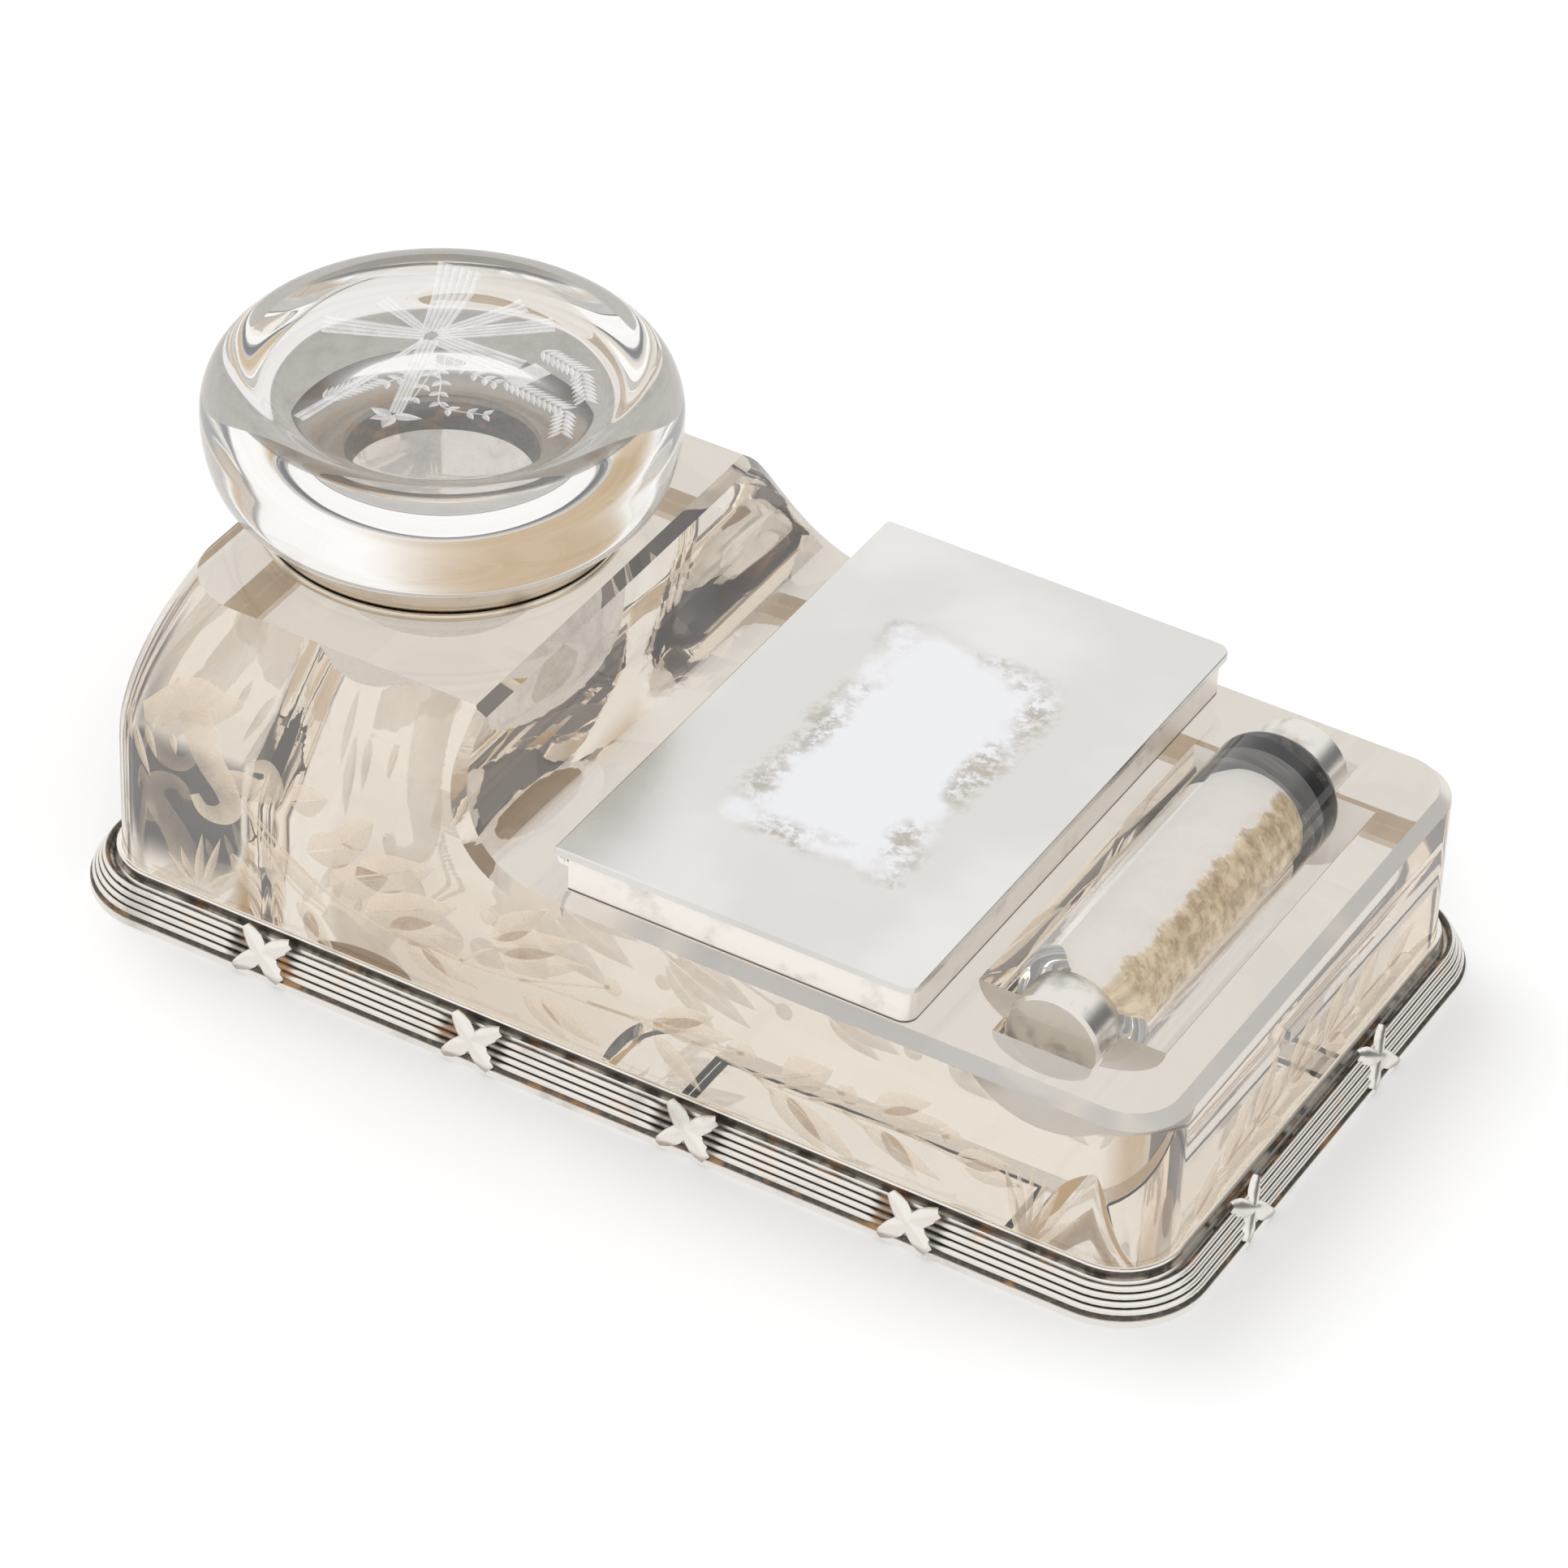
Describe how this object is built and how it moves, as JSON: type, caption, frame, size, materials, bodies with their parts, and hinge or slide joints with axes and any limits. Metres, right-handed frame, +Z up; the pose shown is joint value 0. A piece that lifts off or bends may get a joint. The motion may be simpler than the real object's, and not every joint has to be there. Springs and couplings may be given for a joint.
{
  "type": "desk inkstand",
  "caption": "Silver-mounted glass desk stand with hinged-lid inkwell, pen scoop, shallow lidded stamp box and a glass moistening roller, in a reeded silver foot frame.",
  "frame": {"origin": "middle of the underside, on the table", "axes": "+X runs along the length from the inkwell to the moistening roller, +Y to the back where the ink lid is hinged, +Z up"},
  "size_m": [0.1842, 0.1056, 0.0752],
  "materials": {
    "glass_warm": "polished, with a warm tone",
    "glass_clear": "polished, colourless",
    "silver": "old polished silver, tarnished in the hollows",
    "silver_bright": "polished silver, lightly marked"
  },
  "bodies": {
    "base": {"glass_block": "glass_warm", "foot_frame": "silver", "ribbon_ties": "silver", "well_collar": "silver", "collar_knuckles": "silver", "lid_hinge_pin": "silver", "stamp_walls": "silver", "stamp_floor": "silver", "stamp_dividers": "silver", "box_knuckles": "silver", "cover_hinge_pin": "silver"},
    "ink_lid": {"lid_mount": "silver", "lid_glass": "glass_clear", "lid_knuckle": "silver"},
    "stamp_lid": {"stamp_cover": "silver_bright", "cover_hinge_knuckles": "silver"},
    "roller": {"roller_barrel": "glass_clear", "roller_cap_front": "silver", "roller_cap_back": "silver"}
  },
  "joints": [
    {"name": "ink_lid_hinge", "type": "hinge", "parent": "base", "child": "ink_lid", "pos_m": [-0.058, 0.0303, 0.052], "axis": [-1, 0, 0], "range_deg": [0, 90]},
    {"name": "stamp_cover_hinge", "type": "hinge", "parent": "base", "child": "stamp_lid", "pos_m": [-0.0089, 0, 0.0374], "axis": [0, -1, 0], "range_deg": [0, 100]},
    {"name": "roller_spin", "type": "hinge", "parent": "base", "child": "roller", "pos_m": [0.0642, 0, 0.032], "axis": [0, 1, 0], "continuous": true}
  ]
}
